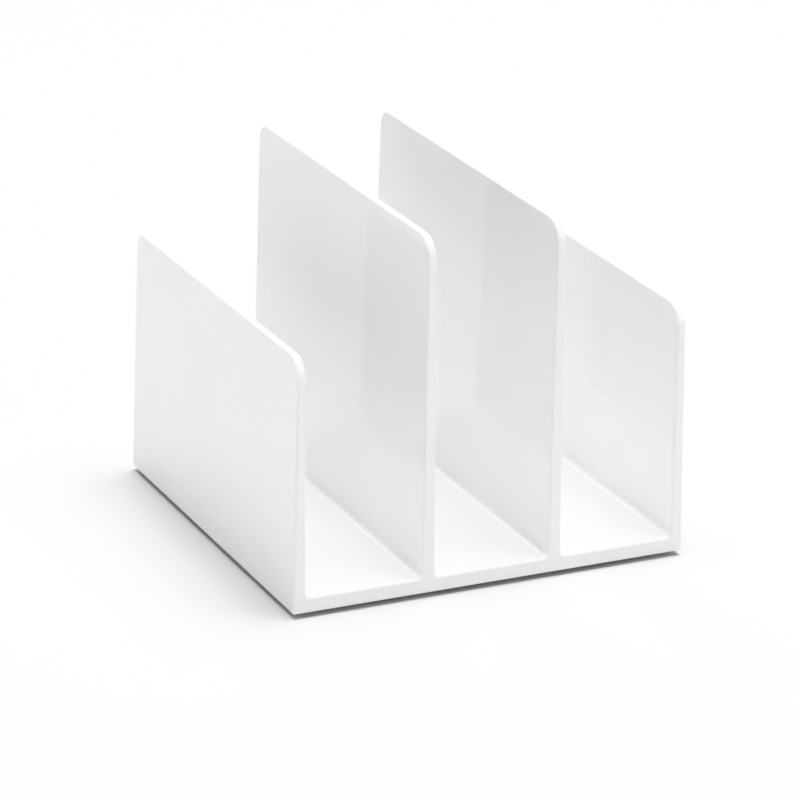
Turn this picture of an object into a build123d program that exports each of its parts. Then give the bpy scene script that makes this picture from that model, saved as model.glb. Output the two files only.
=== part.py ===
from build123d import *
import os
from math import radians, tan

# Desktop file sorter: one comb-shaped moulding, with a square base and four upright
# fins that part three compartments, standing on four rubber pads bonded in from below.
# Millimetres. +Z is up, the compartments run along Y and the fins stand across X.
# The origin is at the middle of the footprint, on the desk.

# ---- driving dimensions ------------------------------------------------------------
BASE_SIZE = 184.0          # square footprint at the lower edge of the body
FOOT_GAP = 2.3             # the body's lower edge above the desk
FLOOR_TOP = 8.9            # compartment floors above the desk
LOW_FIN_TOP = 114.6        # the two outer fins
TALL_FIN_TOP = 159.2       # the two inner fins
FIN_TOP_THICKNESS = 3.5    # every fin, at its top

OUTER_DRAFT = 1.0          # degrees, on the four outer sides of the body
OUTER_FIN_INNER_DRAFT = 0.1
INNER_FIN_DRAFT = 0.5      # degrees, on each side of an inner fin

FRONT_CORNER_RADIUS = 10.0 # the fins' top corners, at the front and at the rear
REAR_CORNER_RADIUS = 8.0
ROOT_FILLET = 2.2          # where a fin meets a compartment floor
RIM_RADIUS = 0.8           # along every edge of the fins, floors and upright corners
LOWER_EDGE_RADIUS = 0.5    # the body's lower outer edge

# underside: a shallow tray, stiffened by ribs and carrying the feet
FLOOR_THICKNESS = 2.8
SKIRT_THICKNESS = 2.6
TRAY_CORNER_RADIUS = 3.0
TRAY_DRAFT = 1.0
RIB_THICKNESS = 1.8
RIB_RECESS = 0.8           # the ribs' lower edges above the skirt's
CROSS_RIBS = 3

# feet
FOOT_INSET = 16.0          # a foot's axis from the body's sides
FOOT_DIAMETER = 14.0
FOOT_EDGE_RADIUS = 0.8     # round the tread
FOOT_SEAT_DEPTH = 1.4      # how far the pad goes up inside its boss
PAD_CLEARANCE = 0.2        # all round the pad in its boss
BOSS_WALL = 2.2
BOSS_RECESS = 0.3          # the bosses' rims above the skirt's lower edge

# ---- worked out --------------------------------------------------------------------
HALF = BASE_SIZE / 2
FLOOR_UNDERSIDE = FLOOR_TOP - FLOOR_THICKNESS
BODY_HEIGHT = TALL_FIN_TOP - FOOT_GAP
OVERSHOOT = 10.0           # how far cutting tools run past what they cut

# ---- telling edges apart -----------------------------------------------------------
SAME_HEIGHT = 0.01         # heights nearer than this are the same
CROSSING = 3.0             # an edge wider than this crosses a whole fin
ROOT_MARGIN = 0.1          # a root fillet's edges end within this of its top


def run(height, degrees):
    """Sideways travel of a drafted face over a height."""
    return height * tan(radians(degrees))


# inner face of an outer fin, and half the thickness of an inner fin, at the floor
outer_fin_top_side = HALF - run(LOW_FIN_TOP - FOOT_GAP, OUTER_DRAFT)
outer_fin_inner_top = outer_fin_top_side - FIN_TOP_THICKNESS
outer_fin_inner_foot = outer_fin_inner_top - run(LOW_FIN_TOP - FLOOR_TOP, OUTER_FIN_INNER_DRAFT)
inner_fin_half_top = FIN_TOP_THICKNESS / 2
inner_fin_half_foot = inner_fin_half_top + run(TALL_FIN_TOP - FLOOR_TOP, INNER_FIN_DRAFT)

# three equal compartments between the fins, measured at the floor
compartment_width = (2 * outer_fin_inner_foot - 4 * inner_fin_half_foot) / 3
inner_fin_x = compartment_width / 2 + inner_fin_half_foot

foot_axis = HALF - FOOT_INSET
FOOT_PLACES = {
    "foot_front_left": (-foot_axis, -foot_axis),
    "foot_front_right": (foot_axis, -foot_axis),
    "foot_rear_left": (-foot_axis, foot_axis),
    "foot_rear_right": (foot_axis, foot_axis),
}
foot_seat = FOOT_GAP + FOOT_SEAT_DEPTH


def drafted_envelope():
    """The tapered block that gives the body its four outer sides."""
    footprint = Pos(0, 0, FOOT_GAP) * Rectangle(BASE_SIZE, BASE_SIZE)
    return extrude(footprint, amount=BODY_HEIGHT, taper=OUTER_DRAFT)


def comb():
    """The comb profile, seen from the front, run through from front to rear."""
    wide = HALF + OVERSHOOT
    right = [
        (inner_fin_x - inner_fin_half_foot, FLOOR_TOP),
        (inner_fin_x - inner_fin_half_top, TALL_FIN_TOP),
        (inner_fin_x + inner_fin_half_top, TALL_FIN_TOP),
        (inner_fin_x + inner_fin_half_foot, FLOOR_TOP),
        (outer_fin_inner_foot, FLOOR_TOP),
        (outer_fin_inner_top, LOW_FIN_TOP),
        (wide, LOW_FIN_TOP),
        (wide, 0),
    ]
    left = [(-x, z) for x, z in reversed(right)]
    profile = Plane.XZ * make_face(Polyline(right + left, close=True))
    return extrude(profile, amount=HALF + OVERSHOOT, both=True)


def edges_at(shape, height, along, least):
    """Straight edges at one height that run along one axis."""
    return [
        e for e in shape.edges().filter_by(along)
        if abs(e.center().Z - height) < SAME_HEIGHT and e.length > least
    ]


def fin_ends(shape):
    """The front and rear ends of the fins' top faces."""
    across = FIN_TOP_THICKNESS / 2
    low = edges_at(shape, LOW_FIN_TOP, Axis.X, across)
    return low + edges_at(shape, TALL_FIN_TOP, Axis.X, across)


def rim_edges(shape):
    """The edges where two faces meet at an angle, round every fin and floor."""
    picked = []
    for e in shape.edges():
        box = e.bounding_box()
        lower_rim = box.max.Z < FOOT_GAP + SAME_HEIGHT
        across_fin = box.size.X > CROSSING and box.min.Z > FLOOR_TOP + ROOT_FILLET
        along_root = box.size.Y > HALF and box.max.Z < FLOOR_TOP + ROOT_FILLET + ROOT_MARGIN
        if not (lower_rim or across_fin or along_root):
            picked.append(e)
    return picked


def tray():
    """The hollow of the underside, with its ribs and foot bosses left standing."""
    side = BASE_SIZE - 2 * SKIRT_THICKNESS
    mouth = Pos(0, 0, FOOT_GAP) * RectangleRounded(side, side, TRAY_CORNER_RADIUS)
    hollow = extrude(mouth, amount=FLOOR_UNDERSIDE - FOOT_GAP, taper=TRAY_DRAFT)
    rib_low = FOOT_GAP + RIB_RECESS
    rib_height = FLOOR_UNDERSIDE - rib_low
    for x in (-inner_fin_x, inner_fin_x):
        rib = Pos(x, 0, rib_low + rib_height / 2) * Box(RIB_THICKNESS, BASE_SIZE, rib_height)
        hollow -= rib
    pitch = BASE_SIZE / (CROSS_RIBS + 1)
    for step in range(CROSS_RIBS):
        y = pitch * (step + 1) - HALF
        rib = Pos(0, y, rib_low + rib_height / 2) * Box(BASE_SIZE, RIB_THICKNESS, rib_height)
        hollow -= rib
    boss_low = FOOT_GAP + BOSS_RECESS
    boss_height = FLOOR_UNDERSIDE - boss_low
    boss_radius = FOOT_DIAMETER / 2 + PAD_CLEARANCE + BOSS_WALL
    for x, y in FOOT_PLACES.values():
        hollow -= Pos(x, y, boss_low + boss_height / 2) * Cylinder(boss_radius, boss_height)
    return hollow


def foot_socket(x, y):
    """The round recess that one foot is bonded into."""
    depth = FOOT_SEAT_DEPTH + OVERSHOOT
    seat = Cylinder(FOOT_DIAMETER / 2 + PAD_CLEARANCE, depth)
    return Pos(x, y, foot_seat - depth / 2) * seat


def sorter_body():
    body = drafted_envelope() & comb()
    body = fillet([e for e in fin_ends(body) if e.center().Y < 0], FRONT_CORNER_RADIUS)
    body = fillet([e for e in fin_ends(body) if e.center().Y > 0], REAR_CORNER_RADIUS)
    body = fillet(edges_at(body, FLOOR_TOP, Axis.Y, HALF), ROOT_FILLET)
    body = fillet(rim_edges(body), RIM_RADIUS)
    lower_rim = [e for e in body.edges() if e.bounding_box().max.Z < FOOT_GAP + SAME_HEIGHT]
    body = fillet(lower_rim, LOWER_EDGE_RADIUS)
    body -= tray()
    for x, y in FOOT_PLACES.values():
        body -= foot_socket(x, y)
    return body


def foot():
    """A rubber foot: a plain round pad with a rounded tread edge."""
    pad = Pos(0, 0, foot_seat / 2) * Cylinder(FOOT_DIAMETER / 2, foot_seat)
    return fillet(pad.edges().sort_by(Axis.Z)[0], FOOT_EDGE_RADIUS)


os.makedirs("parts", exist_ok=True)
export_step(sorter_body(), "parts/sorter_body.step")
for name, (x, y) in FOOT_PLACES.items():
    export_step(Pos(x, y, 0) * foot(), f"parts/{name}.step")
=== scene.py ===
import math

import bpy
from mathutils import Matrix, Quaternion, Vector

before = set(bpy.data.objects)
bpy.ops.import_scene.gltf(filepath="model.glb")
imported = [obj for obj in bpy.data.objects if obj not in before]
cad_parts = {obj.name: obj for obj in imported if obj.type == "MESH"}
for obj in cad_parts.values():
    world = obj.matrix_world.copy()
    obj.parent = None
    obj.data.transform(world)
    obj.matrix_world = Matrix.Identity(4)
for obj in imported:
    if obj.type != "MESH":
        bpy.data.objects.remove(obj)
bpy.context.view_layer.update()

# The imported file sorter: one glossy white moulding on four rubber feet. +Z is up, the
# compartments run along Y and the open front faces -Y. Everything is in metres.
FEET = [name for name in sorted(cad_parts) if name.startswith("foot_")]

# ---- camera: where it looks from, and how ------------------------------------------
AZIMUTH = math.radians(-25.24)      # 0 looks along +Y
ELEVATION = math.radians(20.71)
ROLL = math.radians(1.11)
DISTANCE = 1.7925
AIM_FROM_BASE = Vector((-0.0049, -0.0074, 0.0562))
FOCAL_LENGTH_MM = 184.0
SENSOR_MM = 36.0
NEAR_CLIP = 0.05
FAR_CLIP = 50.0

# ---- how the brightest tones roll off ----------------------------------------------
FILM_WHITE = 1.26                   # scene value shown as pure white
SHOULDER_START = 0.86
SHOULDER_MIDDLE = 1.06
SHOULDER_SHOWN = 0.955              # how bright the shoulder's middle is shown

# ---- studio ------------------------------------------------------------------------
WHITE = (1.0, 1.0, 1.0, 1.0)
FLOOR_HALF_SIZE = 4.0
FLOOR_TONE = 0.72
FLOOR_ROUGHNESS = 0.9
WORLD_STRENGTH = 0.3
HORIZON_STRENGTH = 1.0
HORIZON_TOP = 0.05                  # sine of the elevation up to which it is that bright
HORIZON_FADED = 0.22                # and where it has faded to the room's strength
SOFTBOX_DISTANCE = 3.6
SOFTBOX_SIZE = (2.45, 1.8)
AIM_HEIGHT = 0.08
SOFTBOXES = {                       # azimuth and elevation in degrees, and watts
    "overhead": (0.0, 89.9, 111.0),
    "top_right": (90.0, 70.0, 69.0),
    "top_left": (-90.0, 70.0, 4.5),
    "rear": (180.0, 45.0, 35.5),
    "front_right": (45.0, 17.0, 13.0),
    "left": (-90.0, 12.0, 3.2),
}

# ---- polished white plastic: noise is in cycles per metre --------------------------
PLASTIC_SHADE = (0.852, 0.852, 0.852)
PLASTIC_TINT = (0.868, 0.868, 0.867)
PLASTIC_GLOSS = (0.006, 0.014)      # roughness, from least to most hazed
PLASTIC_IOR = 1.5
FLOW_SCALE = 18.0                   # where the melt ran, seen in the shade of white
HAZE_SCALE = 60.0
SWAY_SCALE = 9.0                    # faces that aren't quite flat
SWAY_STRENGTH = 0.02
SWAY_HEIGHT = 0.0005
PEEL_SCALE = 900.0                  # orange peel
PEEL_STRENGTH = 0.03
PEEL_HEIGHT = 0.00001

# ---- matt black rubber -------------------------------------------------------------
RUBBER_SHADE = (0.018, 0.018, 0.019)
RUBBER_TINT = (0.034, 0.034, 0.036)
RUBBER_GLOSS = (0.62, 0.82)
CLOUD_SCALE = 220.0
GRAIN_SCALE = 2600.0
GRAIN_STRENGTH = 0.35
GRAIN_HEIGHT = 0.00005

# a noise value seldom leaves this range
NOISE_LOW = 0.3
NOISE_HIGH = 0.7


def direction(azimuth, elevation):
    """Unit vector from the object towards a camera or a light. The angles are in radians."""
    return Vector((
        math.sin(azimuth) * math.cos(elevation),
        -math.cos(azimuth) * math.cos(elevation),
        math.sin(elevation),
    ))


def nodes_of(name):
    """A new material, with its node tree and its Principled shader."""
    material = bpy.data.materials.new(name)
    material.use_nodes = True
    tree = material.node_tree
    shader = tree.nodes["Principled BSDF"]
    return material, tree, shader


def add(tree, kind, **inputs):
    """A shader node with some of its inputs set by name."""
    node = tree.nodes.new(kind)
    for key, value in inputs.items():
        node.inputs[key.replace("_", " ")].default_value = value
    return node


def noise(tree, scale, detail, roughness=0.5):
    """Noise in the object's own coordinates, in cycles per metre."""
    where = tree.nodes.new("ShaderNodeTexCoord")
    node = add(tree, "ShaderNodeTexNoise", Scale=scale, Detail=detail, Roughness=roughness)
    tree.links.new(where.outputs["Object"], node.inputs["Vector"])
    return node.outputs["Fac"]


def remap(tree, value, from_low, from_high, to_low, to_high):
    """Maps one range of a value onto another, and holds it at the ends."""
    node = add(
        tree, "ShaderNodeMapRange",
        From_Min=from_low, From_Max=from_high, To_Min=to_low, To_Max=to_high,
    )
    tree.links.new(value, node.inputs["Value"])
    return node.outputs["Result"]


def spread(tree, value, low_high):
    """Maps a noise value onto a range."""
    return remap(tree, value, NOISE_LOW, NOISE_HIGH, *low_high)


def tint(tree, value, dark, light):
    """Maps a noise value onto two close colours."""
    ramp = tree.nodes.new("ShaderNodeValToRGB")
    ramp.color_ramp.elements[0].position = NOISE_LOW
    ramp.color_ramp.elements[1].position = NOISE_HIGH
    ramp.color_ramp.elements[0].color = (*dark, 1.0)
    ramp.color_ramp.elements[1].color = (*light, 1.0)
    tree.links.new(value, ramp.inputs["Fac"])
    return ramp.outputs["Color"]


def bump(tree, height, strength, distance, under=None):
    """Bumps from a height value, laid over another bump's normal if one is given."""
    node = add(tree, "ShaderNodeBump", Strength=strength, Distance=distance)
    tree.links.new(height, node.inputs["Height"])
    if under is not None:
        tree.links.new(under, node.inputs["Normal"])
    return node.outputs["Normal"]


def gloss_white_plastic():
    """Polished white moulded plastic: sharp reflections, faint orange peel and flow."""
    material, tree, shader = nodes_of("gloss_white_plastic")
    flow = noise(tree, FLOW_SCALE, 3.0)
    peel = noise(tree, PEEL_SCALE, 2.0)
    sway = noise(tree, SWAY_SCALE, 1.0)
    haze = noise(tree, HAZE_SCALE, 4.0, 0.6)
    colour = tint(tree, flow, PLASTIC_SHADE, PLASTIC_TINT)
    tree.links.new(colour, shader.inputs["Base Color"])
    tree.links.new(spread(tree, haze, PLASTIC_GLOSS), shader.inputs["Roughness"])
    waves = bump(tree, sway, SWAY_STRENGTH, SWAY_HEIGHT)
    skin = bump(tree, peel, PEEL_STRENGTH, PEEL_HEIGHT, waves)
    tree.links.new(skin, shader.inputs["Normal"])
    shader.inputs["IOR"].default_value = PLASTIC_IOR
    return material


def foot_rubber():
    """Matt black rubber with a fine grain."""
    material, tree, shader = nodes_of("foot_rubber_matt")
    cloud = noise(tree, CLOUD_SCALE, 4.0)
    grain = noise(tree, GRAIN_SCALE, 3.0)
    colour = tint(tree, cloud, RUBBER_SHADE, RUBBER_TINT)
    tree.links.new(colour, shader.inputs["Base Color"])
    tree.links.new(spread(tree, cloud, RUBBER_GLOSS), shader.inputs["Roughness"])
    skin = bump(tree, grain, GRAIN_STRENGTH, GRAIN_HEIGHT)
    tree.links.new(skin, shader.inputs["Normal"])
    return material


def dress(node_name, material):
    """Gives a CAD node its finished material."""
    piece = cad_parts[node_name]
    for slot in piece.material_slots:
        slot.material = material


def studio_floor():
    """A plain pale floor."""
    bpy.ops.mesh.primitive_plane_add(size=2 * FLOOR_HALF_SIZE, location=(0, 0, 0))
    floor = bpy.context.object
    floor.name = "studio_floor"
    material, _, shader = nodes_of("studio_paper")
    shader.inputs["Base Color"].default_value = (FLOOR_TONE, FLOOR_TONE, FLOOR_TONE, 1.0)
    shader.inputs["Roughness"].default_value = FLOOR_ROUGHNESS
    shader.inputs["Specular IOR Level"].default_value = 0.0
    floor.data.materials.append(material)


def studio_world():
    """A dim white room whose walls brighten towards the horizon, behind the floor."""
    world = bpy.data.worlds.new("studio_white")
    world.use_nodes = True
    tree = world.node_tree
    background = tree.nodes["Background"]
    background.inputs["Color"].default_value = WHITE
    where = tree.nodes.new("ShaderNodeTexCoord")
    split = tree.nodes.new("ShaderNodeSeparateXYZ")
    tree.links.new(where.outputs["Generated"], split.inputs["Vector"])
    strength = remap(
        tree, split.outputs["Z"],
        HORIZON_TOP, HORIZON_FADED, HORIZON_STRENGTH, WORLD_STRENGTH,
    )
    tree.links.new(strength, background.inputs["Strength"])
    bpy.context.scene.world = world


def softbox(name, azimuth, elevation, power):
    """A rectangular light that faces the object."""
    back = direction(math.radians(azimuth), math.radians(elevation))
    data = bpy.data.lights.new(name, "AREA")
    data.shape = "RECTANGLE"
    data.size, data.size_y = SOFTBOX_SIZE
    data.energy = power
    lamp = bpy.data.objects.new(name, data)
    lamp.location = Vector((0, 0, AIM_HEIGHT)) + back * SOFTBOX_DISTANCE
    lamp.rotation_mode = "QUATERNION"
    lamp.rotation_quaternion = (-back).to_track_quat("-Z", "Y")
    bpy.context.scene.collection.objects.link(lamp)


def camera():
    """The camera at the photograph's angle, without depth of field."""
    back = direction(AZIMUTH, ELEVATION)
    data = bpy.data.cameras.new("camera")
    data.sensor_width = SENSOR_MM
    data.lens = FOCAL_LENGTH_MM
    data.clip_start = NEAR_CLIP
    data.clip_end = FAR_CLIP
    eye = bpy.data.objects.new("camera", data)
    eye.location = AIM_FROM_BASE + back * DISTANCE
    eye.rotation_mode = "QUATERNION"
    facing = (-back).to_track_quat("-Z", "Y")
    eye.rotation_quaternion = facing @ Quaternion((0, 0, 1), ROLL)
    bpy.context.scene.collection.objects.link(eye)
    bpy.context.scene.camera = eye


def film_curve():
    """A plain view transform whose brightest tones roll off gently, as on film."""
    view = bpy.context.scene.view_settings
    view.view_transform = "Standard"
    view.use_curve_mapping = True
    mapping = view.curve_mapping
    mapping.white_level = (FILM_WHITE,) * 3
    combined = mapping.curves[3]
    combined.points.new(SHOULDER_START / FILM_WHITE, SHOULDER_START)
    combined.points.new(SHOULDER_MIDDLE / FILM_WHITE, SHOULDER_SHOWN)
    for point in combined.points:
        point.handle_type = "VECTOR"
    mapping.update()


dress("sorter_body", gloss_white_plastic())
rubber = foot_rubber()
for foot in FEET:
    dress(foot, rubber)

studio_floor()
studio_world()
for name, (azimuth, elevation, power) in SOFTBOXES.items():
    softbox(name, azimuth, elevation, power)
camera()
film_curve()
